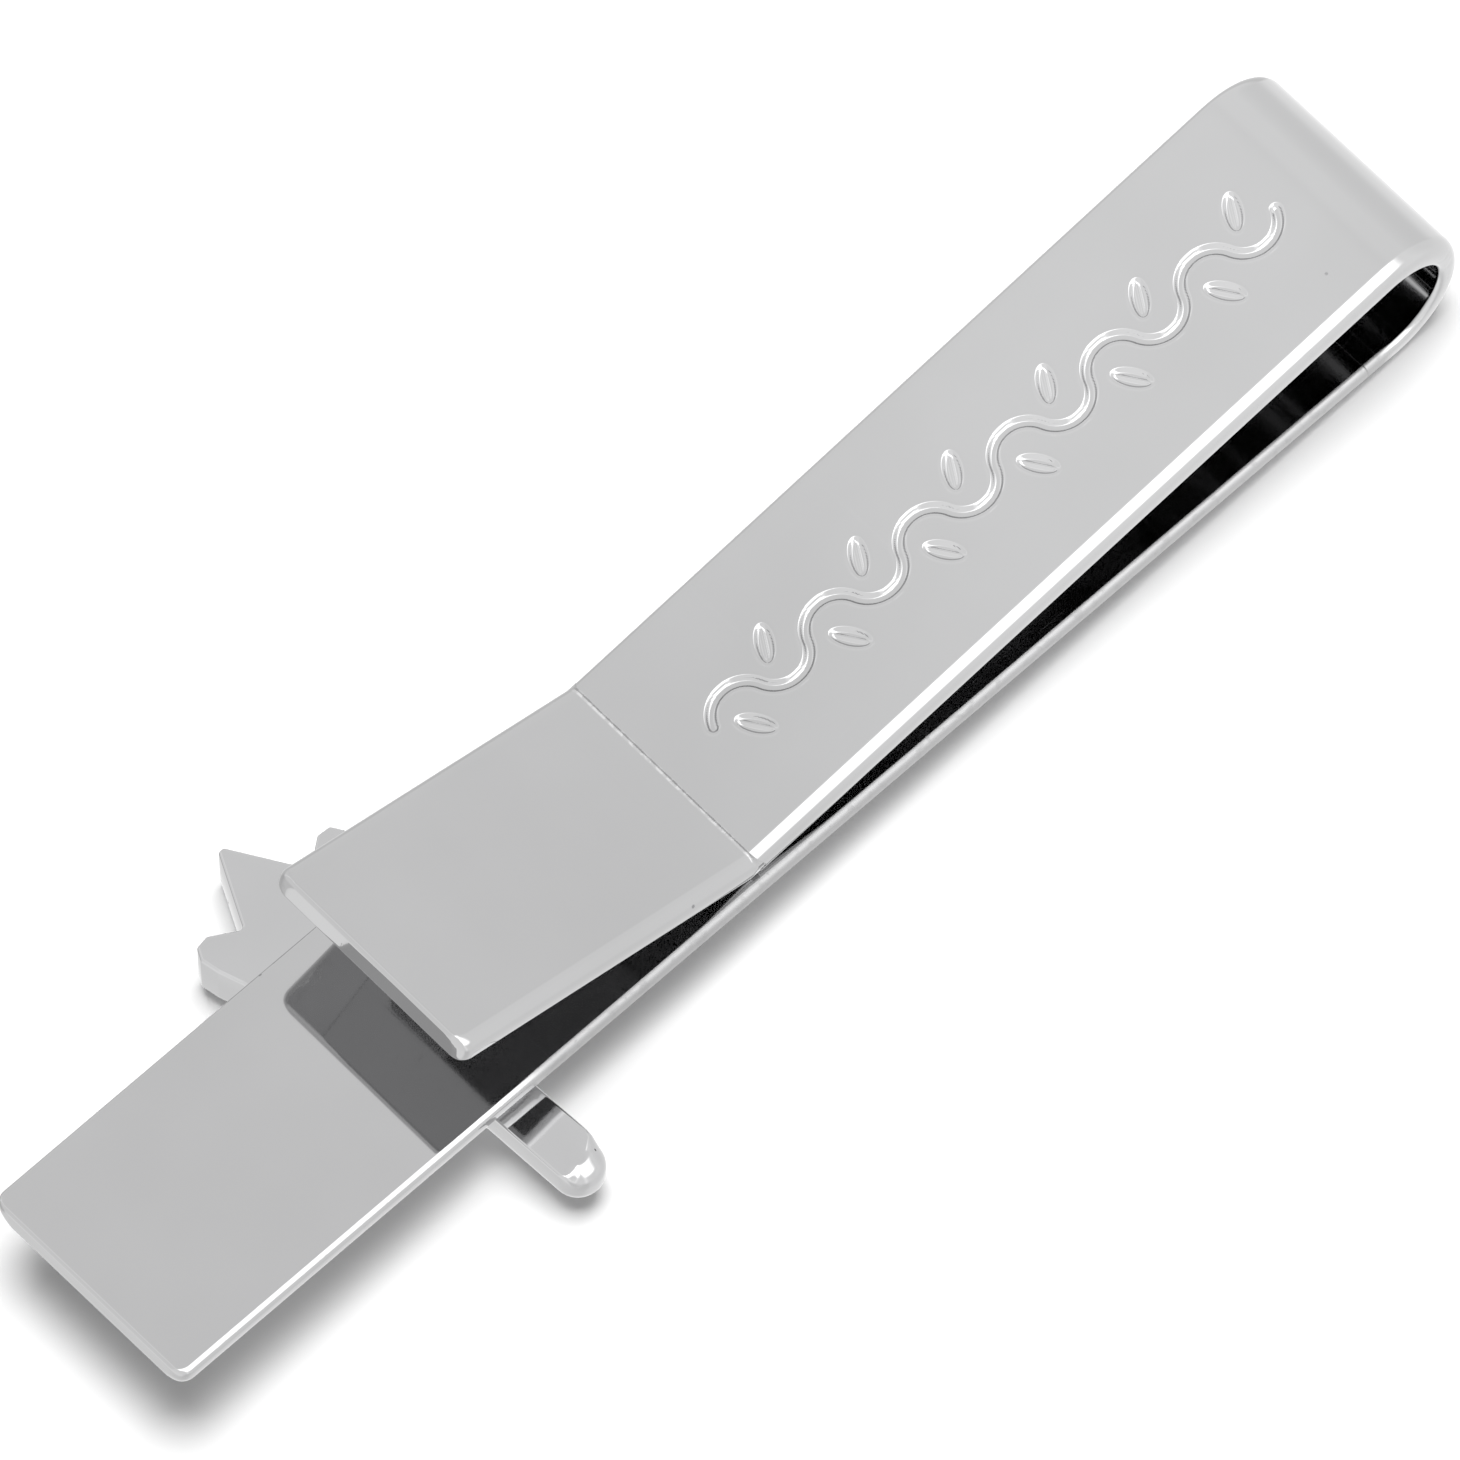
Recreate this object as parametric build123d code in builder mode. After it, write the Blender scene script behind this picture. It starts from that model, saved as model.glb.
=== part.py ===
"""Slide-on tie bar: one folded spring strip with a leaf ornament soldered to its front leg.

Frame, in millimetres: +X runs along the bar from its free end to the fold, Y across it, and
+Z points from the front leg to the back leg. The origin is half way along the bar, on the
front leg's inner face, where the fabric slides in; the ornament hangs below the front leg.
"""
from build123d import *
from math import asin, atan2, cos, degrees, hypot, radians, sin
import os

os.makedirs("parts", exist_ok=True)

# Strip
overall_length = 49.7
bar_width = 7.8
strip_thickness = 0.82
outer_edge_radius = 0.48
inner_edge_radius = 0.22
end_corner_radius = 0.45

# Fold, back leg and lip
bend_radius = 1.79
crease_from_end = 22.35
crease_gap = 0.05
lip_angle = radians(17.2)
lip_length = 11.6
fold_skew = radians(0.63)
seam_clearance = 0.12

# Stamped vine on the back leg: a wavy stem with a small leaf in each hollow
vine_start = 1.95
vine_half_wave = 1.83
vine_half_waves = 12
vine_rise = 0.62
vine_stroke = 0.36
vine_depth = 0.11
vine_leaf_length = 1.25
vine_leaf_width = 0.56
vine_leaf_offset = 0.80
vine_leaf_slant = 58

# Leaf ornament and the solder that holds it
leaf_from_end = 12.69
leaf_tilt = radians(2.2)
leaf_thickness = 1.7
leaf_corner_radius = 0.12
stem_width = 1.60
stem_offset = 0.09
stem_thickness = 1.45
stem_end = 6.95
stem_edge_radius = 0.6
solder_thickness = 0.06
solder_inset = 0.25
# Right half of the leaf's outline from the tip down to the stem, (across, along)
leaf_half_outline = [
    (0.10, 7.80),
    (1.34, 5.58),
    (2.22, 6.17),
    (2.66, 6.12),
    (2.88, 5.74),
    (2.80, 5.15),
    (2.58, 4.40),
    (2.40, 3.05),
    (5.55, 3.25),
    (5.35, 2.40),
    (3.55, 0.65),
    (4.45, -1.00),
    (3.70, -1.80),
    (1.70, -1.95),
    (stem_width / 2, -2.70),
]

# Derived places in the XZ plane
front_face_z = -strip_thickness
free_end_x = -overall_length / 2
bend_x = free_end_x + overall_length - strip_thickness - bend_radius
bend_z = bend_radius
ridge_x = free_end_x + crease_from_end
ridge_z = crease_gap
ridge_to_bend = hypot(bend_x - ridge_x, bend_z - ridge_z)
leg_angle = atan2(bend_z - ridge_z, bend_x - ridge_x) + asin(bend_radius / ridge_to_bend)
crease_tilt = (lip_angle - leg_angle) / 2
crease_depth = strip_thickness / cos((lip_angle + leg_angle) / 2)
valley_x = ridge_x + crease_depth * sin(crease_tilt)
valley_z = ridge_z + crease_depth * cos(crease_tilt)
outer_bend_radius = bend_radius + strip_thickness
leg_top_x = bend_x - outer_bend_radius * sin(leg_angle)
leg_top_z = bend_z + outer_bend_radius * cos(leg_angle)
leg_length = hypot(leg_top_x - valley_x, leg_top_z - valley_z)
crease_y = leg_length * cos(leg_angle) * sin(fold_skew)
overrun = 1.0

# Directions of the skewed back leg: across it, down it to the crease, and up the lip
across = Vector(sin(fold_skew), cos(fold_skew), 0)
down_leg = Vector(
    -cos(fold_skew) * cos(leg_angle), sin(fold_skew) * cos(leg_angle), -sin(leg_angle)
)
up_lip = Vector(
    -cos(fold_skew) * cos(lip_angle), sin(fold_skew) * cos(lip_angle), sin(lip_angle)
)
valley = Vector(valley_x, crease_y, valley_z)

# Section planes: local x is across the strip, local y goes from its outer to its inner face
front_section = Plane(origin=(free_end_x, 0, front_face_z), x_dir=(0, 1, 0), z_dir=(1, 0, 0))
bend_section = Plane(origin=(bend_x, 0, front_face_z), x_dir=(0, 1, 0), z_dir=(1, 0, 0))
leg_section = Plane(origin=valley - down_leg * leg_length, x_dir=across, z_dir=down_leg)
lip_section = Plane(origin=valley - up_lip * overrun, x_dir=across, z_dir=up_lip)
crease_plane = Plane(origin=valley, x_dir=across, z_dir=(down_leg + up_lip).normalized())


def strip_profile():
    """Cross-section of the strip: softly rounded outer edges, crisper inner ones."""
    with BuildSketch(mode=Mode.PRIVATE) as profile:
        with Locations((0, strip_thickness / 2)):
            Rectangle(bar_width, strip_thickness)
        fillet(profile.vertices().group_by(Axis.Y)[0], outer_edge_radius)
        fillet(profile.vertices().group_by(Axis.Y)[-1], inner_edge_radius)
    return profile.sketch


def leaf_profile():
    """Outline of the leaf without its stem, along local +Y to the tip."""
    left_half = [(-across_x, along_y) for across_x, along_y in reversed(leaf_half_outline)]
    with BuildSketch(mode=Mode.PRIVATE) as profile:
        with BuildLine():
            Polyline(*leaf_half_outline, *left_half, close=True)
        make_face()
        fillet(profile.vertices(), leaf_corner_radius)
    return profile.sketch


def stem_profile():
    """Outline of the round-ended stem, which starts inside the leaf."""
    stem_top = leaf_half_outline[-1][1] + 1
    stem_length = stem_top + stem_end
    with BuildSketch(mode=Mode.PRIVATE) as profile:
        with Locations((stem_offset, stem_top - stem_length / 2)):
            SlotOverall(stem_length, stem_width, rotation=90)
    return profile.sketch


# Front leg, flat, with its free end's corners rounded
with BuildPart() as front_bar:
    with BuildSketch(front_section):
        add(strip_profile())
    extrude(amount=bend_x - free_end_x)
    with BuildSketch(Plane.XY.offset(front_face_z)) as front_outline:
        with Locations(((free_end_x + bend_x) / 2, 0)):
            Rectangle(bend_x - free_end_x, bar_width)
        fillet(front_outline.vertices().group_by(Axis.X)[0], end_corner_radius)
    extrude(amount=strip_thickness, mode=Mode.INTERSECT)
front_bar.part.label = "front_bar"

# Fold: the section turned about the bend's axis until it meets the back leg's slope
with BuildPart() as spring_bend:
    with BuildSketch(bend_section):
        add(strip_profile())
    revolve(
        axis=Axis((bend_x, 0, bend_z), (0, -1, 0)),
        revolution_arc=180 + degrees(leg_angle),
    )
spring_bend.part.label = "spring_bend"

# Back leg from the fold down to the crease, with the vine stamped in its outer face
vine_plane = Plane(origin=valley, x_dir=-down_leg, z_dir=across.cross(down_leg))
with BuildPart() as back_leg:
    with BuildSketch(leg_section.offset(seam_clearance)):
        add(strip_profile())
    extrude(amount=leg_length - seam_clearance + overrun)
    split(bisect_by=crease_plane, keep=Keep.BOTTOM)
    with BuildSketch(vine_plane):
        with BuildLine() as stem_line:
            for wave in range(vine_half_waves):
                side = 1 if wave % 2 == 0 else -1
                wave_start = vine_start + wave * vine_half_wave
                ThreePointArc(
                    (wave_start, 0),
                    (wave_start + vine_half_wave / 2, side * vine_rise),
                    (wave_start + vine_half_wave, 0),
                )
        trace(line_width=vine_stroke)
        for wave in range(vine_half_waves):
            side = 1 if wave % 2 == 0 else -1
            wave_middle = vine_start + (wave + 0.5) * vine_half_wave
            with Locations((wave_middle, -side * vine_leaf_offset)):
                Ellipse(vine_leaf_length / 2, vine_leaf_width / 2, rotation=-side * vine_leaf_slant)
    extrude(amount=-vine_depth, mode=Mode.SUBTRACT)
back_leg.part.label = "back_leg"

# Flared lip from the crease up to its rounded tip
lip_outline_plane = Plane(origin=valley, x_dir=up_lip, z_dir=across.cross(up_lip))
with BuildPart() as flared_lip:
    with BuildSketch(lip_section):
        add(strip_profile())
    extrude(amount=overrun + lip_length)
    with BuildSketch(lip_outline_plane) as lip_outline:
        with Locations(((lip_length - overrun) / 2, 0)):
            Rectangle(lip_length + overrun, bar_width)
        fillet(lip_outline.vertices().group_by(Axis.X)[-1], end_corner_radius)
    extrude(amount=2 * strip_thickness, both=True, mode=Mode.INTERSECT)
    split(bisect_by=crease_plane, keep=Keep.TOP)
flared_lip.part.label = "flared_lip"

# Leaf ornament across the front leg, its stem thinner than the leaf and rounded in front
leaf_x = free_end_x + leaf_from_end
leaf_axis = (cos(leaf_tilt), sin(leaf_tilt), 0)
solder_plane = Plane(origin=(leaf_x, 0, front_face_z - solder_thickness), x_dir=leaf_axis)
with BuildPart() as leaf_ornament:
    with BuildSketch(solder_plane.offset(-stem_thickness)):
        add(stem_profile())
    extrude(amount=stem_thickness)
    fillet(leaf_ornament.faces().sort_by(Axis.Z)[0].edges(), stem_edge_radius)
    with BuildSketch(solder_plane.offset(-leaf_thickness)):
        add(leaf_profile())
    extrude(amount=leaf_thickness)
leaf_ornament.part.label = "leaf_ornament"

# Solder film between the leaf and the flat of the front leg
solder_width = bar_width - 2 * outer_edge_radius - 2 * solder_inset
with BuildPart() as solder_film:
    with BuildSketch(solder_plane):
        add(leaf_profile())
        add(stem_profile())
        offset(amount=-solder_inset, mode=Mode.REPLACE)
        Rectangle(overall_length, solder_width, rotation=-degrees(leaf_tilt), mode=Mode.INTERSECT)
    extrude(amount=solder_thickness)
solder_film.part.label = "solder_film"

for piece in (front_bar, spring_bend, back_leg, flared_lip, leaf_ornament, solder_film):
    export_step(piece.part, f"parts/{piece.part.label}.step")

# Where the back leg meets the fold, at mid thickness: the line that the leg springs about
hinge_x = bend_x - (bend_radius + strip_thickness / 2) * sin(leg_angle)
hinge_z = bend_z + (bend_radius + strip_thickness / 2) * cos(leg_angle)
print(f"leg angle {degrees(leg_angle):.3f} deg, spring line at x {hinge_x:.3f}, z {hinge_z:.3f}")
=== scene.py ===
"""Looks of the slide-on tie bar: polished folded strip, stamped vine, leaf ornament, pale studio.

Shapes are worked out in millimetres in the part's own frame and turned to metres in add_mesh().
"""

import math

import bpy
import numpy as np
from mathutils import Matrix, Vector
from mathutils.geometry import delaunay_2d_cdt


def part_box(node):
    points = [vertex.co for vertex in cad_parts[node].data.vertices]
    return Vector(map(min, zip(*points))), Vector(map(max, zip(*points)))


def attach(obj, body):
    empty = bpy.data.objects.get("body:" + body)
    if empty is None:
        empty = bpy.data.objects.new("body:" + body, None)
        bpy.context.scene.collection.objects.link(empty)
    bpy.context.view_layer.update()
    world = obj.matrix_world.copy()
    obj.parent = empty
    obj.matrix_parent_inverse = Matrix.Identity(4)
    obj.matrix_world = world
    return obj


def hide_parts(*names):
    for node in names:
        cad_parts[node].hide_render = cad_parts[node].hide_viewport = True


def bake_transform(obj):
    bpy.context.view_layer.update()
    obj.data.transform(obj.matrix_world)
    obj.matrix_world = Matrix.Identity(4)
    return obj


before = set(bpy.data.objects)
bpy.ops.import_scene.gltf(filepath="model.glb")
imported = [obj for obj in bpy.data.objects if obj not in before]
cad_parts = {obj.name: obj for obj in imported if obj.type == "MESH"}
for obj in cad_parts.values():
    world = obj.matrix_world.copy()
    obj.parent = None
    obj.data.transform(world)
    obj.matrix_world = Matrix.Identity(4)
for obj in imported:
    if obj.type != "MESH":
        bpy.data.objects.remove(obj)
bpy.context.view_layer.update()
MM = 0.001

# Strip: sizes from the CAD nodes, edge roundings and crease as in the part
FRONT_LOW, FRONT_HIGH = (np.array(corner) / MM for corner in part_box("front_bar"))
BEND_LOW, BEND_HIGH = (np.array(corner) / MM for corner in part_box("spring_bend"))
LEAF_LOW, LEAF_HIGH = (np.array(corner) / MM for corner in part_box("leaf_ornament"))
FREE_END, BEND_X = FRONT_LOW[0], FRONT_HIGH[0]
THICK = FRONT_HIGH[2] - FRONT_LOW[2]
HALF_WIDTH = (FRONT_HIGH[1] - FRONT_LOW[1]) / 2
BEND_OUTER = (BEND_HIGH[2] - BEND_LOW[2]) / 2
BEND_INNER = BEND_OUTER - THICK
OUTER_EDGE = 0.48
INNER_EDGE = 0.22
CORNER = 0.45
CREASE_FROM_END = 22.35
CREASE_GAP = 0.05
CREASE_RADIUS = 0.10
LIP_ANGLE = math.radians(17.2)
LIP_LENGTH = 11.6
SKEW = math.radians(0.63)
SEAM_X = BEND_X - 1.09
FREE_END_ROUND = 0.14
TIP_ROUND = 0.17

# Strip's mesh: a short step keeps the shading flat next to a rounding
SHORT_STEP = 0.05
FLAT_MARGIN = 0.03
OUTER_EDGE_POINTS = 11
INNER_EDGE_POINTS = 8
CORNER_STATIONS = 15
ROUNDING_STATIONS = 9
FOLD_STATIONS = 80
CREASE_STATIONS = 9
CAP_SHRINK = 0.04
INNER_FACE_MARGIN = 0.02

# Stamped vine
VINE_START = 1.95
VINE_HALF_WAVE = 1.83
VINE_HALF_WAVES = 12
VINE_RISE = 0.62
VINE_STROKE = 0.36
VINE_DEPTH = 0.11
VINE_WALL = 0.10
VINE_STEP = 0.045
VINE_HALF_BAND = 1.46
BURR_HEIGHT = 0.012
BURR_OFFSET = 0.035
BURR_WIDTH = 0.03
LEAFLET_HALF_LENGTH = 0.625
LEAFLET_HALF_WIDTH = 0.28
LEAFLET_OFFSET = 0.80
LEAFLET_SLANT = math.radians(58)
LEAFLET_RIB_HEIGHT = 0.05
LEAFLET_RIB_WIDTH = 0.06

# Leaf ornament, right half of its outline from tip to stem, (across, along)
LEAF_FROM_END = 12.69
LEAF_TILT = math.radians(2.2)
LEAF_HALF_OUTLINE = [
    (0.10, 7.80),
    (1.34, 5.58),
    (2.22, 6.17),
    (2.66, 6.12),
    (2.88, 5.74),
    (2.80, 5.15),
    (2.58, 4.40),
    (2.40, 3.05),
    (5.55, 3.25),
    (5.35, 2.40),
    (3.55, 0.65),
    (4.45, -1.00),
    (3.70, -1.80),
    (1.70, -1.95),
]
LEAF_CORNER = 0.12
LEAF_FRONT_ROUND = 0.11
LEAF_BACK_ROUND = 0.10
STEM_HALF_WIDTH = 0.80
STEM_OFFSET = 0.09
STEM_TOP = -2.70
STEM_END = -6.95
STEM_THINNER = 0.25
STEM_ROUND = 0.60
STEM_CRISP = 0.09
STEM_ROUND_SIDE = (0.3, -0.95)
FIELD_DEPTH = 0.20
FIELD_DOME = 0.06
RIM_WIDTH = 0.42
VEIN_HALF_WIDTH = 0.16
VEIN_BOW = 0.06
VEIN_ROOT = (0.0, -2.2)
VEIN_TIPS = [(0, 7.3), (2.3, 5.6), (-2.3, 5.6), (5.1, 3.0), (-5.1, 3.0), (4.1, -1.1), (-4.1, -1.1)]

# Leaf's mesh
CORNER_POINTS = 6
STEM_END_POINTS = 25
WALL_RINGS = 11
OUTLINE_STEP = 0.22
CAP_STEP = 0.13
BACK_CAP_THINNING = 11
BACK_CAP_MARGIN = 0.30
FRONT_CAP_MARGIN = 0.07

# Metal: texture scales per metre, wear as (added roughness, depth in the bump's own height)
CLOUD_SCALE, CLOUD_HEIGHT = 160.0, 1.2
FINE_SCALE, FINE_HEIGHT = 1500.0, 0.03
POLISH_SCALE = 300.0
HAIR_LENGTHWISE, HAIR_CROSSWISE = (60, 5200, 5200), (5200, 90, 5200)
PATCH_SCALE = 420.0
PIT_SCALE = 620.0
NICK_SCALE = 2600.0
SCRATCH_WEAR, NICK_WEAR, PIT_WEAR = (0.10, 0.20), (0.14, 1.2), (0.30, 0.9)
PIT_COLOUR = (0.30, 0.30, 0.305, 1)
# Painted light in the base colour: painted shade towards the free end, on the covered front-leg
# edges and on the inner faces by the fold, and painted highlight dashes on the crease
FREE_END_PAINTED_SHADE = 0.88
COVERED_EDGE_ROUGH, COVERED_EDGE_PAINTED_SHADE = 0.45, -0.12
INNER_FACE_PAINTED_SHADE = -0.42
CREASE_ROUGH, CREASE_HEIGHT = 0.12, 1.2
CREASE_DASH_SCALE, CREASE_GRAIN_SCALE = 3400.0, 5200.0
CREASE_PAINTED_GLINT = (0.12, 0.42)
SATIN_SCALE, SATIN_ROUGH, SATIN_HEIGHT = 9000.0, 0.30, 2.5
POLISH_BUMP = 0.0000035
SOLDER_BUMP = 0.00001


def smooth(t):
    """Smooth step from 0 to 1 over t from 0 to 1."""
    t = np.clip(t, 0, 1)
    return t * t * (3 - 2 * t)


def add_mesh(name, vertices, faces, material):
    """A smooth-shaded object from vertices in millimetres."""
    mesh = bpy.data.meshes.new(name)
    mesh.from_pydata((np.asarray(vertices, float) * MM).tolist(), [], faces)
    mesh.validate()
    mesh.shade_smooth()
    mesh.materials.append(material)
    made = bpy.data.objects.new(name, mesh)
    bpy.context.scene.collection.objects.link(made)
    return made


def mark_vertices(made, attribute_name, values):
    """Store one number for each vertex, for the material to read."""
    attribute = made.data.attributes.new(attribute_name, "FLOAT", "POINT")
    attribute.data.foreach_set("value", np.asarray(values, np.float32))


# ---------------------------------------------------------------- materials


class Nodes:
    """Short calls for building a node tree."""

    def __init__(self, tree):
        self.tree = tree
        tree.nodes.clear()

    def add(self, kind, **inputs):
        """A node of that kind; inputs are set or linked by socket name, settings by attribute."""
        node = self.tree.nodes.new("ShaderNode" + kind)
        for key, value in inputs.items():
            if key.startswith("set_"):
                setattr(node, key[4:], value)
                continue
            name = int(key[3:]) if key.startswith("in_") else key.replace("_", " ")
            if isinstance(value, bpy.types.NodeSocket):
                self.tree.links.new(value, node.inputs[name])
            else:
                node.inputs[name].default_value = value
        return node

    def math(self, operation, first, second=0.0, third=0.0):
        """Output of a Math node."""
        node = self.add("Math", set_operation=operation, in_0=first, in_1=second, in_2=third)
        return node.outputs[0]

    def product(self, first, *others):
        """Output of Math nodes that multiply all the values."""
        for other in others:
            first = self.math("MULTIPLY", first, other)
        return first

    def plus(self, value, mask, amount):
        """Output of a Math node: the value plus the mask times the amount."""
        return self.math("MULTIPLY_ADD", mask, amount, value)

    def step(self, value, low, high, to_low=0.0, to_high=1.0):
        """Output of a smooth Map Range node."""
        node = self.add("MapRange", set_interpolation_type="SMOOTHSTEP", Value=value)
        ends = {"From Min": low, "From Max": high, "To Min": to_low, "To Max": to_high}
        for socket, number in ends.items():
            node.inputs[socket].default_value = number
        return node.outputs["Result"]

    def fade(self, value, low, high):
        """Output of a smooth Map Range node that falls from 1 to 0."""
        return self.step(value, low, high, 1.0, 0.0)

    def noise(self, vector, scale, detail=2.0, rough=0.5):
        """Output of a Noise texture."""
        node = self.add("TexNoise", Vector=vector, Scale=scale, Detail=detail, Roughness=rough)
        return node.outputs["Fac"]

    def stretched(self, vector, scale, turn):
        """The coordinates turned about Z and scaled, for streaks."""
        node = self.add("Mapping", Vector=vector)
        node.inputs["Rotation"].default_value = (0, 0, turn)
        node.inputs["Scale"].default_value = scale
        return node.outputs["Vector"]

    def ramp(self, value, stops):
        """Colour output of a ramp through (position, colour) stops."""
        node = self.add("ValToRGB", Fac=value)
        elements = node.color_ramp.elements
        while len(elements) < len(stops):
            elements.new(0.5)
        for element, (position, colour) in zip(elements, stops):
            element.position = position
            element.color = (*colour, 1)
        return node.outputs["Color"]

    def attribute(self, name):
        """A number stored with the mesh's vertices."""
        return self.add("Attribute", set_attribute_name=name).outputs["Fac"]

    def metal(self, colour, rough, bump):
        """Finish the material as a metal."""
        normal = bump.outputs["Normal"]
        shader = self.add(
            "BsdfPrincipled", Base_Color=colour, Roughness=rough, Metallic=1.0, Normal=normal
        )
        self.add("OutputMaterial", Surface=shader.outputs[0])


def new_material(name):
    """An empty node material and its node helper."""
    material = bpy.data.materials.new(name)
    material.use_nodes = True
    return material, Nodes(material.node_tree)


def scratches(n, place):
    """Mask of hairline scratches: patches of them along the strip, a few across it."""
    lengthwise = n.noise(n.stretched(place, HAIR_LENGTHWISE, 0.5), 1.0, 1.0)
    crosswise = n.noise(n.stretched(place, HAIR_CROSSWISE, -0.35), 1.0, 1.0)
    patch = n.step(n.noise(place, PATCH_SCALE, 1.0), 0.50, 0.62)
    patchy = n.product(n.step(lengthwise, 0.70, 0.76), patch)
    return n.math("MAXIMUM", patchy, n.step(crosswise, 0.72, 0.78))


def pits(n, place):
    """Mask of pin-prick pits, in about a fifth of a Voronoi texture's cells."""
    cells = n.add("TexVoronoi", Vector=place, Scale=PIT_SCALE).outputs
    chance = n.add("SeparateColor", Color=cells["Color"]).outputs[0]
    return n.product(n.fade(cells["Distance"], 0.022, 0.050), n.step(chance, 0.80, 0.82))


def edge_nicks(n, place, sideways):
    """Mask of small nicks in the strip's long edges."""
    edge = n.step(sideways, (HALF_WIDTH - 0.22) * MM, (HALF_WIDTH - 0.05) * MM)
    on_strip = n.fade(sideways, (HALF_WIDTH + 0.05) * MM, (HALF_WIDTH + 0.25) * MM)
    return n.product(edge, on_strip, n.step(n.noise(place, NICK_SCALE), 0.52, 0.64))


def covered_edge(n, axes, sideways):
    """Mask of the front leg's long edges where the back leg and the lip cover them; it roughens
    them and darkens them with painted shade.
    """
    wall = n.step(sideways, (HALF_WIDTH - 0.26) * MM, (HALF_WIDTH - 0.18) * MM)
    low = n.fade(axes["Z"], 0.01 * MM, 0.04 * MM)
    past_lip = n.step(axes["X"], -12.5 * MM, -10.5 * MM)
    before_fold = n.fade(axes["X"], 21.6 * MM, 22.4 * MM)
    return n.product(wall, low, n.product(past_lip, before_fold))


def crease_line(n, axes, run, height):
    """Mask of the fine line along the crease, at a distance along the back leg and a height; it
    carries roughness, grain and a dashed painted highlight.
    """
    along = n.plus(n.product(axes["X"], math.cos(SKEW)), axes["Y"], -math.sin(SKEW))
    aside = n.math("ABSOLUTE", n.math("SUBTRACT", along, run * MM))
    above = n.step(axes["Z"], (height - 0.1) * MM, height * MM)
    return n.product(n.fade(aside, 0.03 * MM, 0.10 * MM), above)


def polished_metal(name, greys, polish, satin=False, crease=None):
    """Bright plated metal with faint clouding, hairline scratches, pin-prick pits and worn edges.

    satin dulls the sunk field that the mesh marks. The base colour has painted shade, darker
    towards the free end.
    crease, (distance along the back leg, height), adds what only the strip has: covered edges
    roughened and darkened with painted shade, inner faces darkened with painted shade towards the
    fold, and the crease's line with dashed painted highlights.
    """
    material, n = new_material(name)
    place = n.add("TexCoord").outputs["Object"]
    axes = n.add("SeparateXYZ", Vector=place).outputs
    sideways = n.math("ABSOLUTE", axes["Y"])
    cloud = n.noise(place, CLOUD_SCALE, 3.0)
    pit = pits(n, place)

    dark = n.add("Mix", set_data_type="RGBA", Factor=pit)
    n.tree.links.new(n.ramp(cloud, list(zip((0.3, 0.7), greys))), dark.inputs[6])
    dark.inputs[7].default_value = PIT_COLOUR
    # Painted shade: the base colour is darker towards the free end
    painted_shading = n.step(axes["X"], -8 * MM, 16 * MM, FREE_END_PAINTED_SHADE, 1.0)
    rough = n.step(n.noise(place, POLISH_SCALE, 4.0, 0.6), 0.3, 0.7, *polish)
    height = n.product(cloud, CLOUD_HEIGHT)
    height = n.plus(height, n.noise(place, FINE_SCALE), FINE_HEIGHT)
    wear = (
        (scratches(n, place), SCRATCH_WEAR),
        (edge_nicks(n, place, sideways), NICK_WEAR),
        (pit, PIT_WEAR),
    )
    for mask, (added_rough, depth) in wear:
        rough = n.plus(rough, mask, added_rough)
        height = n.plus(height, mask, -depth)

    if crease is not None:
        covered = covered_edge(n, axes, sideways)
        # Painted shade: the covered edges and the inner faces towards the fold get a darker base
        # colour
        painted_recess_shade = n.product(n.attribute("inner"), n.step(axes["X"], 8 * MM, 22 * MM))
        line = crease_line(n, axes, *crease)
        # Painted highlight: brighter dashes in the base colour along the crease line
        painted_glint = n.step(n.noise(place, CREASE_DASH_SCALE), 0.46, 0.60, *CREASE_PAINTED_GLINT)
        changes = ((covered, COVERED_EDGE_PAINTED_SHADE), (painted_recess_shade, INNER_FACE_PAINTED_SHADE), (line, painted_glint))
        for mask, change in changes:
            painted_shading = n.product(painted_shading, n.plus(1.0, mask, change))
        rough = n.plus(rough, covered, COVERED_EDGE_ROUGH)
        rough = n.plus(rough, line, CREASE_ROUGH)
        grain = n.product(line, n.noise(place, CREASE_GRAIN_SCALE))
        height = n.plus(height, grain, CREASE_HEIGHT)
    if satin:
        field = n.attribute("satin")
        rough = n.plus(rough, field, SATIN_ROUGH)
        grain = n.product(n.noise(place, SATIN_SCALE, 3.0, 0.7), field)
        height = n.plus(height, grain, SATIN_HEIGHT)

    base = n.add("VectorMath", set_operation="SCALE", in_0=dark.outputs[2], Scale=painted_shading)
    bump = n.add("Bump", Height=height, Strength=0.55, Distance=POLISH_BUMP)
    n.metal(base.outputs[0], rough, bump)
    return material


def solder_metal():
    """Dull, slightly grainy solder."""
    material, n = new_material("solder_dull")
    place = n.add("TexCoord").outputs["Object"]
    cloud = n.noise(place, 700.0, 4.0, 0.6)
    colour = n.ramp(cloud, [(0.0, (0.22, 0.22, 0.215)), (1.0, (0.45, 0.445, 0.435))])
    grain = n.noise(place, 3500.0, 3.0)
    bump = n.add("Bump", Height=grain, Strength=0.6, Distance=SOLDER_BUMP)
    n.metal(colour, n.step(cloud, 0.2, 0.8, 0.35, 0.6), bump)
    return material


# ---------------------------------------------------------------- strip


def arc(centre, radius, start, end, count):
    """Points on an arc, both ends included, angles in degrees."""
    angles = np.radians(np.linspace(start, end, count))
    return [(centre[0] + radius * math.cos(a), centre[1] + radius * math.sin(a)) for a in angles]


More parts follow.
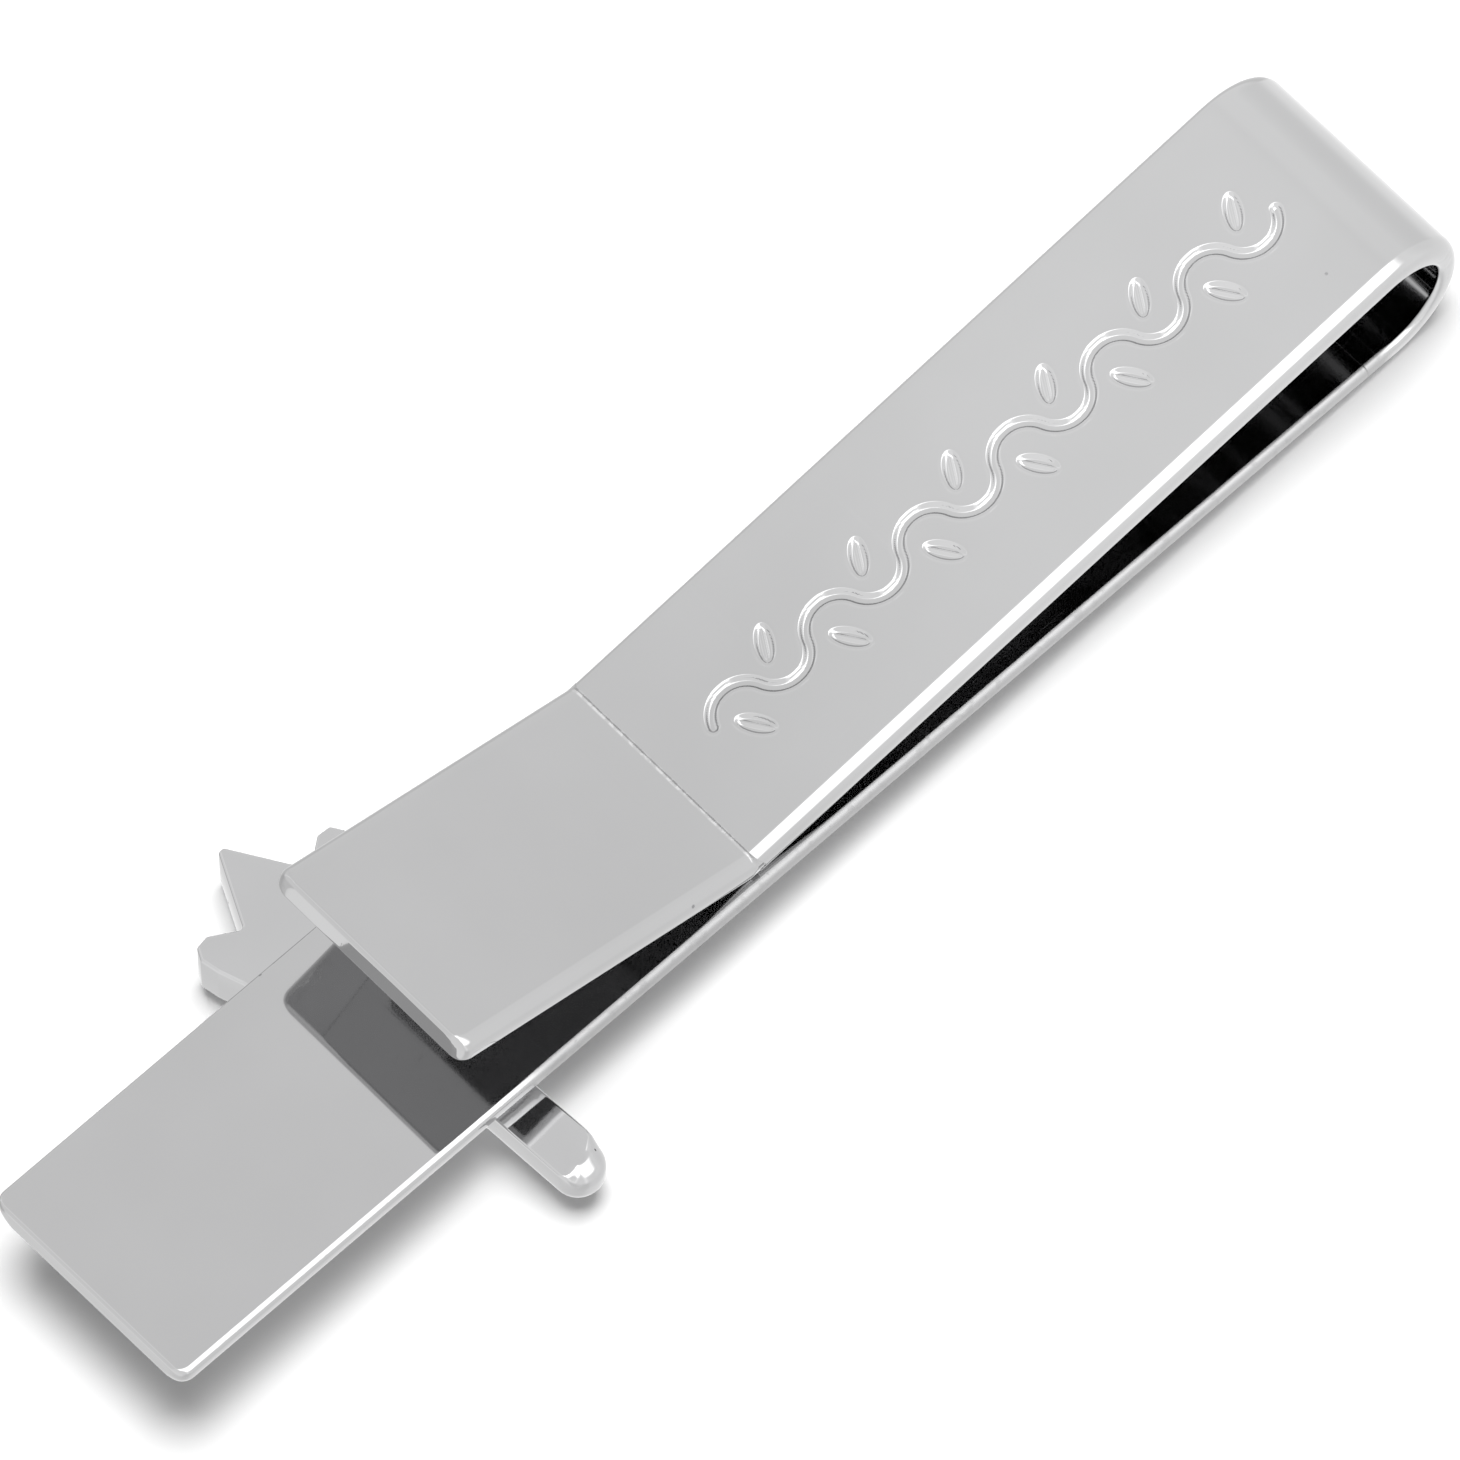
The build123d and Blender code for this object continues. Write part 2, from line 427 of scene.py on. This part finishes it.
def section(grid, half_width, inset):
    """Closed outline of the strip, (across, height over the inner face), outer face first."""
    scale = (half_width - OUTER_EDGE) / (HALF_WIDTH - OUTER_EDGE)
    outer_y, inner_y = half_width - OUTER_EDGE, half_width - INNER_EDGE
    outer_z = THICK - OUTER_EDGE
    outer, inner = OUTER_EDGE - inset, INNER_EDGE - inset
    flat = (inner_y - FLAT_MARGIN, inner_y / 2, 0, -inner_y / 2, FLAT_MARGIN - inner_y)
    points = [(y * scale, THICK - inset) for y in grid]
    points += arc((outer_y, outer_z), outer, 90, 0, OUTER_EDGE_POINTS)[1:]
    points += arc((inner_y, INNER_EDGE), inner, 0, -90, INNER_EDGE_POINTS)
    points += [(y, inset) for y in flat]
    points += arc((-inner_y, INNER_EDGE), inner, -90, -180, INNER_EDGE_POINTS)
    points += arc((-outer_y, outer_z), outer, 180, 90, OUTER_EDGE_POINTS)[:-1]
    return np.array(points)


def drawn_in(distance, radius):
    """How far a quarter-round of that radius draws in, at a distance from the end."""
    if distance >= radius:
        return 0.0
    return radius - math.sqrt(max(radius**2 - (radius - distance) ** 2, 0))


def end_stations(rounding):
    """(distance from the strip's end, half width, inset), towards an end with rounded corners."""
    distances = []
    for radius, count in ((CORNER, CORNER_STATIONS), (rounding, ROUNDING_STATIONS)):
        distances += [radius * (1 - math.sin(t)) for t in np.radians(np.linspace(0, 90, count))]
    rows = {}
    for distance in distances:
        half_width = HALF_WIDTH - drawn_in(distance, CORNER)
        rows[round(distance, 5)] = (distance, half_width, drawn_in(distance, rounding))
    return [rows[key] for key in sorted(rows, reverse=True)]


def ring_walls(ring_count, size):
    """Four-sided faces between rings of vertices, each ring after the one before."""
    faces = []
    for base in range(0, (ring_count - 1) * size, size):
        for k in range(size):
            other = (k + 1) % size
            faces.append((base + k, base + other, base + size + other, base + size + k))
    return faces


def sweep(name, stations, grid, material, relief=None):
    """A closed strip through its stations, which marks the vertices of its inner face.

    A station is (inner-face point, across, outward, half width, inset, distance up the back leg).
    """
    rings, inner = [], []
    for point, across, outward, half_width, inset, along in stations:
        outline = section(grid, half_width, inset)
        ring = point + outline[:, :1] * across + outline[:, 1:] * outward
        if relief is not None and along is not None:
            ring[: len(grid)] += relief(along, outline[: len(grid), 0])[:, None] * outward
        rings.append(ring)
        inner.append(outline[:, 1] < inset + INNER_FACE_MARGIN)
    for end, place in ((0, 0), (-1, len(rings) + 1)):
        middle = rings[end].mean(0)
        rings.insert(place, rings[end] + (middle - rings[end]) * CAP_SHRINK)
        inner.insert(place, inner[end])
    size = len(rings[0])
    last = (len(rings) - 1) * size
    faces = ring_walls(len(rings), size)
    faces.append(tuple(reversed(range(size))))
    faces.append(tuple(range(last, last + size)))
    strip = add_mesh(name, np.vstack(rings), faces, material)
    mark_vertices(strip, "inner", np.concatenate(inner))
    return strip


def across_grid(fine):
    """Where the outer face has vertices across the strip."""
    edge = HALF_WIDTH - OUTER_EDGE
    if not fine:
        half_grid = np.array([edge / 2, edge - FLAT_MARGIN, edge])
        return np.concatenate([-half_grid[::-1], [0], half_grid])
    count = round(2 * VINE_HALF_BAND / VINE_STEP) + 1
    band = np.linspace(-VINE_HALF_BAND, VINE_HALF_BAND, count)
    side = np.linspace(VINE_HALF_BAND, edge - FLAT_MARGIN, 15)[1:]
    return np.concatenate([[-edge], -side[::-1], band, side, [edge]])


def strip_direction(slope):
    """Unit vector along the strip towards the free end, climbing at that slope."""
    flat = math.cos(slope)
    return np.array([-math.cos(SKEW) * flat, math.sin(SKEW) * flat, math.sin(slope)])


def vine_relief(along, across):
    """Height of the stamped vine over the back leg's outer face."""
    distance = np.full(across.shape, np.inf)
    radius = ((VINE_HALF_WAVE / 2) ** 2 + VINE_RISE**2) / (2 * VINE_RISE)
    rib = np.zeros(across.shape)
    for wave in range(VINE_HALF_WAVES):
        side = 1 - 2 * (wave % 2)
        du = along - VINE_START - (wave + 0.5) * VINE_HALF_WAVE
        if abs(du) > 2 * VINE_HALF_WAVE:
            continue
        on_arc = np.abs(np.hypot(du, across - side * (VINE_RISE - radius)) - radius)
        at_end = np.hypot(abs(du) - VINE_HALF_WAVE / 2, across)
        stem = np.where(side * across >= 0, on_arc, at_end) - VINE_STROKE / 2
        turn = -side * LEAFLET_SLANT
        dv = across + side * LEAFLET_OFFSET
        long_way = du * math.cos(turn) + dv * math.sin(turn)
        short_way = -du * math.sin(turn) + dv * math.cos(turn)
        ratio = np.hypot(long_way / LEAFLET_HALF_LENGTH, short_way / LEAFLET_HALF_WIDTH)
        slope = np.hypot(long_way / LEAFLET_HALF_LENGTH**2, short_way / LEAFLET_HALF_WIDTH**2)
        leaflet = (ratio - 1) * ratio / np.maximum(slope, 1e-6)
        inside = leaflet < -LEAFLET_RIB_WIDTH
        rib = np.maximum(rib, np.exp(-((short_way / LEAFLET_RIB_WIDTH) ** 2)) * inside)
        distance = np.minimum(distance, np.minimum(stem, leaflet))
    sunk = -VINE_DEPTH * smooth(-distance / VINE_WALL)
    burr = BURR_HEIGHT * np.exp(-(((distance - BURR_OFFSET) / BURR_WIDTH) ** 2))
    return sunk + burr + LEAFLET_RIB_HEIGHT * rib


Y_AXIS = np.array([0.0, 1.0, 0.0])
DOWN = np.array([0.0, 0.0, -1.0])

# Back leg's slope: tangent to the fold, its crease just clear of the front leg
ridge = np.array([FREE_END + CREASE_FROM_END, 0, CREASE_GAP])
bend_centre = np.array([BEND_X, 0, BEND_INNER])
to_bend = bend_centre - ridge
LEG_ANGLE = math.atan2(to_bend[2], to_bend[0]) + math.asin(BEND_INNER / np.linalg.norm(to_bend))
leg_top = bend_centre + BEND_INNER * np.array([-math.sin(LEG_ANGLE), 0, math.cos(LEG_ANGLE)])
leg_length = np.linalg.norm(ridge - leg_top)
half_crease = (LEG_ANGLE + LIP_ANGLE) / 2

# Directions of the skewed back leg and lip, and the places round the crease
skewed_across = np.array([math.sin(SKEW), math.cos(SKEW), 0])
down_leg = strip_direction(-LEG_ANGLE)
up_lip = strip_direction(LIP_ANGLE)
leg_out = np.cross(skewed_across, down_leg)
lip_out = np.cross(skewed_across, up_lip)
crease_out = (leg_out + lip_out) / np.linalg.norm(leg_out + lip_out)
valley = leg_top + down_leg * leg_length + crease_out * THICK / math.cos(half_crease)
crease_centre = valley + crease_out * CREASE_RADIUS / math.cos(half_crease)
crease_trim = CREASE_RADIUS * math.tan(half_crease)
valley_on_leg = float((valley - leg_top) @ down_leg)

STRIP_METAL = polished_metal(
    "strip_polish",
    [(0.508, 0.508, 0.511), (0.532, 0.532, 0.536)],
    (0.030, 0.055),
    crease=(valley[0] * math.cos(SKEW) - valley[1] * math.sin(SKEW), valley[2]),
)

# Front leg, from its rounded free end to the seam just before the fold
front_stations = []
for distance, half_width, inset in reversed(end_stations(FREE_END_ROUND)):
    point = np.array([FREE_END + distance, 0, 0])
    front_stations.append((point, Y_AXIS, DOWN, half_width, inset, None))
for x in [*np.linspace(FREE_END + CORNER + SHORT_STEP, SEAM_X - SHORT_STEP, 24), SEAM_X]:
    front_stations.append((np.array([x, 0, 0]), Y_AXIS, DOWN, HALF_WIDTH, 0.0, None))
front_leg = sweep("front_leg", front_stations, across_grid(False), STRIP_METAL)
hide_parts("front_bar")
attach(front_leg, "front")

# Fold, back leg and lip in one sheet of metal
spring_stations = []
for x in (SEAM_X, SEAM_X + SHORT_STEP, BEND_X - SHORT_STEP):
    spring_stations.append((np.array([x, 0, 0]), Y_AXIS, DOWN, HALF_WIDTH, 0.0, None))
for turn in np.linspace(0, math.pi + LEG_ANGLE, FOLD_STATIONS):
    outward = np.array([math.sin(turn), 0, -math.cos(turn)])
    skew = SKEW * float(smooth(turn / (math.pi + LEG_ANGLE)))
    across = np.array([math.sin(skew), math.cos(skew), 0])
    point = bend_centre + BEND_INNER * outward
    spring_stations.append((point, across, outward, HALF_WIDTH, 0.0, None))
vine_end = VINE_START + VINE_HALF_WAVES * VINE_HALF_WAVE
vine_rows = np.arange(vine_end + 0.3, VINE_START - 0.35, -VINE_STEP)
vine_rows = vine_rows[vine_rows < valley_on_leg - 0.08]
below_vine = [1.3, 0.6, crease_trim + SHORT_STEP, crease_trim]
for above in [valley_on_leg - SHORT_STEP, *vine_rows, *below_vine]:
    point = leg_top + down_leg * (valley_on_leg - above)
    spring_stations.append((point, skewed_across, leg_out, HALF_WIDTH, 0.0, above))
for share in np.linspace(0, 1, CREASE_STATIONS)[1:-1]:
    turn = 2 * half_crease * share
    outward = leg_out * math.cos(turn) + np.cross(skewed_across, leg_out) * -math.sin(turn)
    point = crease_centre - outward * (CREASE_RADIUS + THICK)
    spring_stations.append((point, skewed_across, outward, HALF_WIDTH, 0.0, None))
lip_start = crease_centre - lip_out * (CREASE_RADIUS + THICK)
lip_run = LIP_LENGTH - crease_trim
for run in [0.0, SHORT_STEP, *np.linspace(0.6, lip_run - CORNER - SHORT_STEP, 14)]:
    point = lip_start + up_lip * run
    spring_stations.append((point, skewed_across, lip_out, HALF_WIDTH, 0.0, None))
for distance, half_width, inset in end_stations(TIP_ROUND):
    point = lip_start + up_lip * (lip_run - distance)
    spring_stations.append((point, skewed_across, lip_out, half_width, inset, None))
spring_leg = sweep("spring_leg", spring_stations, across_grid(True), STRIP_METAL, vine_relief)
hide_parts("spring_bend", "back_leg", "flared_lip")
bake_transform(spring_leg)


# ---------------------------------------------------------------- leaf ornament


def unit(vectors):
    """The vector, or each row's vector, scaled to length 1."""
    return vectors / np.linalg.norm(vectors, axis=-1, keepdims=True)


def rounded(points, radius):
    """The closed outline with each corner replaced by a short arc."""
    count = len(points)
    out = []
    for k in range(count):
        before, here, after = (np.array(points[(k + s) % count], float) for s in (-1, 0, 1))
        back, ahead = unit(before - here), unit(after - here)
        half = math.acos(np.clip(back @ ahead, -1, 1)) / 2
        trim = radius / math.tan(half)
        centre = here + unit(back + ahead) * radius / math.sin(half)
        start, end = here + back * trim - centre, here + ahead * trim - centre
        turned = math.atan2(start[0] * end[1] - start[1] * end[0], start @ end)
        for angle in np.linspace(0, turned, CORNER_POINTS):
            c, s = math.cos(angle), math.sin(angle)
            out.append(centre + [start[0] * c - start[1] * s, start[0] * s + start[1] * c])
    return out


def leaf_outline():
    """Counter-clockwise outline of the leaf and its round-ended stem, in short steps."""
    left = [(-x, y) for x, y in LEAF_HALF_OUTLINE]
    right = list(reversed(LEAF_HALF_OUTLINE))
    stem_round = STEM_END + STEM_HALF_WIDTH
    stem_left, stem_right = STEM_OFFSET - STEM_HALF_WIDTH, STEM_OFFSET + STEM_HALF_WIDTH
    corner_points = [*right, *left, (stem_left, STEM_TOP)]
    stem_points = [(stem_left, stem_round), (stem_right, stem_round), (stem_right, STEM_TOP)]
    body = rounded([*corner_points, *stem_points], LEAF_CORNER)
    stem_start = CORNER_POINTS * len(corner_points)
    stem_stop = stem_start + 2 * CORNER_POINTS
    stem = arc((STEM_OFFSET, stem_round), STEM_HALF_WIDTH, 180, 360, STEM_END_POINTS)
    loop = [*body[:stem_start], *(np.array(p) for p in stem), *body[stem_stop:]]
    dense = []
    for here, after in zip(loop, [*loop[1:], loop[0]]):
        steps = max(1, math.ceil(np.linalg.norm(after - here) / OUTLINE_STEP))
        dense += [here + (after - here) * k / steps for k in range(steps)]
    return np.array(dense)


def inside_distance(points, loop):
    """Distance of each point from the outline, positive inside it."""
    best = np.full(len(points), np.inf)
    crossings = np.zeros(len(points), int)
    for start, end in zip(loop, np.roll(loop, -1, 0)):
        span = end - start
        share = np.clip(((points - start) @ span) / (span @ span), 0, 1)
        away = points - start - share[:, None] * span
        best = np.minimum(best, np.linalg.norm(away, axis=1))
        straddles = (start[1] > points[:, 1]) != (end[1] > points[:, 1])
        if span[1] != 0:
            crossing_x = start[0] + (points[:, 1] - start[1]) * span[0] / span[1]
            crossings += straddles & (points[:, 0] < crossing_x)
    return np.where(crossings % 2 == 1, best, -best)


def vein_distance(points):
    """Distance from the nearest of the leaf's slightly bowed, tapered veins."""
    root = np.array(VEIN_ROOT)
    best = np.full(len(points), np.inf)
    for tip in VEIN_TIPS:
        span = np.array(tip, float) - root
        share = np.clip(((points - root) @ span) / (span @ span), 0, 1)
        aside = np.array([-span[1], span[0]]) * np.sign(tip[0])
        bow = VEIN_BOW * np.sin(share * math.pi)[:, None] * aside
        away = points - root - share[:, None] * span - bow
        best = np.minimum(best, np.linalg.norm(away, axis=1) * (1 + 0.6 * share))
    return best


def field_share(points, depth_in):
    """1 in the leaf's sunk field, 0 on its rim, veins and stem."""
    on_leaf = smooth((points[:, 1] + 2.3) / 0.5)
    off_rim = smooth((depth_in - RIM_WIDTH) / 0.22)
    return off_rim * smooth(vein_distance(points) / VEIN_HALF_WIDTH - 0.9) * on_leaf


def stem_share(points):
    """0 on the leaf, 1 on its stem."""
    return smooth((STEM_TOP - 0.1 - points[:, 1]) / 0.5)


def leaf_walls(loop, thickness):
    """Rings of outline points and their heights, from the back face to the front face."""
    tangent = np.roll(loop, -1, 0) - np.roll(loop, 1, 0)
    inward = unit(np.stack([-tangent[:, 1], tangent[:, 0]], 1))
    on_stem = stem_share(loop)
    round_side = (loop - [STEM_OFFSET, STEM_END + STEM_HALF_WIDTH]) @ np.array(STEM_ROUND_SIDE)
    stem_back = STEM_CRISP + (STEM_ROUND - STEM_CRISP) * smooth((round_side + 0.10) / 0.5)
    back_round = LEAF_BACK_ROUND + (stem_back - LEAF_BACK_ROUND) * on_stem
    front_round = LEAF_FRONT_ROUND + (STEM_ROUND - LEAF_FRONT_ROUND) * on_stem
    rings, heights = [], []
    for turn in np.radians(np.linspace(90, 0, WALL_RINGS)):
        rings.append(loop + inward * (back_round * (1 - math.cos(turn)))[:, None])
        heights.append(-back_round * (1 - math.sin(turn)))
    for turn in np.radians(np.linspace(0, 90, WALL_RINGS)):
        rings.append(loop + inward * (front_round * (1 - math.cos(turn)))[:, None])
        heights.append(-thickness + STEM_THINNER * on_stem + front_round * (1 - math.sin(turn)))
    return rings, heights


def leaf_cap(border, interior, border_start, interior_start):
    """Triangles of a flat cap, and the interior points that they use."""
    count = len(border)
    points = [Vector(p) for p in np.vstack([border, interior])]
    edges = [(k, (k + 1) % count) for k in range(count)]
    made_points, _, triangles, _, _, _ = delaunay_2d_cdt(points, edges, [], 1, 1e-7)
    numbers = [
        border_start + k if k < count else interior_start + k - count
        for k in range(len(made_points))
    ]
    used = np.array([tuple(p) for p in made_points[count:]])
    return used, [[numbers[k] for k in triangle] for triangle in triangles]


def build_leaf(material):
    """The leaf ornament: flat back, rounded walls, sunk satin field between a rim and veins."""
    thickness = LEAF_HIGH[2] - LEAF_LOW[2]
    loop = leaf_outline()
    count = len(loop)
    rings, heights = leaf_walls(loop, thickness)
    faces = ring_walls(len(rings), count)
    flat, height = np.vstack(rings), np.concatenate(heights)

    xs, ys = np.meshgrid(np.arange(-6, 6, CAP_STEP), np.arange(-7.2, 8, CAP_STEP))
    seeds = np.stack([xs.ravel(), ys.ravel()], 1)
    behind = seeds[inside_distance(seeds, rings[0]) > BACK_CAP_MARGIN][::BACK_CAP_THINNING]
    extra, triangles = leaf_cap(rings[0], behind, 0, len(flat))
    faces += [tuple(reversed(triangle)) for triangle in triangles]
    flat, height = np.vstack([flat, extra]), np.concatenate([height, np.zeros(len(extra))])

    ahead = seeds[inside_distance(seeds, rings[-1]) > FRONT_CAP_MARGIN]
    extra, triangles = leaf_cap(rings[-1], ahead, (len(rings) - 1) * count, len(flat))
    faces += [tuple(triangle) for triangle in triangles]
    depth_in = inside_distance(extra, loop)
    sunk = field_share(extra, depth_in)
    relief = FIELD_DEPTH * sunk - FIELD_DOME * smooth(depth_in / 1.5) * sunk
    flat = np.vstack([flat, extra])
    height = np.concatenate([height, -thickness + STEM_THINNER * stem_share(extra) + relief])

    c, s = math.cos(LEAF_TILT), math.sin(LEAF_TILT)
    place_x = FREE_END + LEAF_FROM_END + flat[:, 0] * c - flat[:, 1] * s
    place_y = flat[:, 0] * s + flat[:, 1] * c
    place = np.stack([place_x, place_y, LEAF_HIGH[2] + height], 1)
    made = add_mesh("leaf", place, faces, material)
    on_front = smooth((-height - thickness * 0.8) / (thickness * 0.05))
    mark_vertices(made, "satin", field_share(flat, inside_distance(flat, loop)) * on_front)
    return made


LEAF_METAL = polished_metal(
    "leaf_polish", [(0.54, 0.54, 0.545), (0.57, 0.57, 0.575)], (0.035, 0.07), satin=True
)
leaf = build_leaf(LEAF_METAL)
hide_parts("leaf_ornament")
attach(leaf, "front")

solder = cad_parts["solder_film"]
solder.data.materials.clear()
solder.data.materials.append(solder_metal())


# ---------------------------------------------------------------- studio

# Floor: the bar lies on its fold and on the leaf's foremost lobe
FLOOR_HALF = 0.06
rise = (FRONT_LOW[2] - LEAF_LOW[2]) / (BEND_X - LEAF_HIGH[0])
fold_x, fold_z = BEND_X * MM, (FRONT_LOW[2] - 0.01) * MM
corners = [
    (x * FLOOR_HALF, y * FLOOR_HALF, fold_z + rise * (x * FLOOR_HALF - fold_x))
    for x, y in ((-1, -1), (1, -1), (1, 1), (-1, 1))
]
floor_mesh = bpy.data.meshes.new("floor")
floor_mesh.from_pydata(corners, [], [(0, 1, 2, 3)])
floor = bpy.data.objects.new("floor", floor_mesh)
bpy.context.scene.collection.objects.link(floor)
floor_material, n = new_material("floor_white")
paper = n.noise(n.add("TexCoord").outputs["Object"], 60.0)
white = n.ramp(paper, [(0.0, (0.90, 0.90, 0.90)), (1.0, (0.93, 0.93, 0.93))])
floor_shader = n.add("BsdfPrincipled", Base_Color=white, Roughness=0.9)
floor_shader.inputs["Specular IOR Level"].default_value = 0.0
n.add("OutputMaterial", Surface=floor_shader.outputs[0])
floor_mesh.materials.append(floor_material)
floor.visible_glossy = False

# Surround by direction: a grey tent that varies along the bar, as (place from -X to +X, grey)
TENT = [
    (0.0, 0.80),
    (0.30, 0.78),
    (0.378, 0.96),
    (0.44, 0.80),
    (0.525, 0.765),
    (0.656, 0.747),
    (0.735, 0.773),
    (0.868, 0.775),
    (0.929, 0.733),
    (0.967, 0.707),
]
PANEL_BRIGHT = 0.92
NEAR_SIDE_BRIGHT = 0.07
DIFFUSE_DIMMING = -0.85
SURROUND_STRENGTH = 1.5
world = bpy.data.worlds.new("tent")
bpy.context.scene.world = world
world.use_nodes = True
n = Nodes(world.node_tree)
way = n.add("SeparateXYZ", Vector=n.add("TexCoord").outputs["Generated"]).outputs
across_tent = n.math("MULTIPLY_ADD", way["X"], 0.5, 0.5)
tent = n.ramp(across_tent, [(position, (grey,) * 3) for position, grey in TENT])

# A bright panel high up on the -Y side, and that whole side a little brighter
panel = n.product(
    n.step(way["X"], -0.35, -0.15),
    n.fade(way["X"], 0.36, 0.64),
    n.step(way["Y"], 0.13, 0.03, 0.0, 1.0),
    n.step(way["Z"], 0.33, 0.58),
)
bright = n.math("MULTIPLY_ADD", panel, PANEL_BRIGHT, tent)
near_side = n.step(way["Y"], 0.25, 0.05, 0.0, 1.0)
bright = n.math("MULTIPLY_ADD", near_side, NEAR_SIDE_BRIGHT, bright)

# Below the horizon, the ground that the metal mirrors in place of the floor
ground = n.product(
    n.step(way["Y"], 0.36, 0.46, 0.80, 0.60),
    n.step(way["X"], -0.25, 0.1, 0.86, 1.0),
    n.step(way["X"], -0.70, -0.40, 1.30, 1.0),
)
below = n.fade(way["Z"], -0.35, 0.0)
seen = n.add("Mix", set_data_type="FLOAT", in_0=below, in_2=bright, in_3=ground).outputs[0]

# Dimmed for diffuse light, so that the overhead lamp's shadows stay dark; white to the camera
ray = n.add("LightPath").outputs
dimmed = n.product(seen, n.math("MULTIPLY_ADD", ray["Is Diffuse Ray"], DIFFUSE_DIMMING, 1.0))
shown = n.math("MAXIMUM", dimmed, ray["Is Camera Ray"])
background = n.add("Background", Color=shown, Strength=SURROUND_STRENGTH)
n.add("OutputWorld", Surface=background.outputs[0])

# Overhead soft box, which lights the floor and isn't mirrored in the metal
lamp = bpy.data.lights.new("soft_box", "AREA")
lamp.shape = "SQUARE"
lamp.size = 0.4
lamp.energy = 4.7
soft_box = bpy.data.objects.new("soft_box", lamp)
soft_box.location = (0.045, 0.048, 0.62)
soft_box.rotation_mode = "QUATERNION"
soft_box.rotation_quaternion = soft_box.location.to_track_quat("Z", "Y")
soft_box.visible_glossy = False
bpy.context.scene.collection.objects.link(soft_box)

# Camera at the photograph's angle
TO_CAMERA = Vector((-0.3127, -0.3341, 0.8892)).normalized()
RIGHT = Vector((0.7242, -0.6897, -0.0045))
TARGET = Vector((0.47, 0.60, FRONT_LOW[2])) * MM
DISTANCE = 0.8
right = (RIGHT - TO_CAMERA * RIGHT.dot(TO_CAMERA)).normalized()
up = TO_CAMERA.cross(right)
facing = Matrix((right, up, TO_CAMERA)).transposed().to_4x4()
camera_data = bpy.data.cameras.new("camera")
camera_data.lens = 700
camera_data.sensor_width = 36
camera_data.clip_start = 0.01
camera_data.clip_end = 10
camera = bpy.data.objects.new("camera", camera_data)
camera.matrix_world = Matrix.Translation(TARGET + TO_CAMERA * DISTANCE) @ facing
bpy.context.scene.collection.objects.link(camera)
bpy.context.scene.camera = camera
bpy.context.scene.view_settings.view_transform = "Standard"
bpy.context.scene.cycles.max_bounces = 12
bpy.context.scene.cycles.glossy_bounces = 12
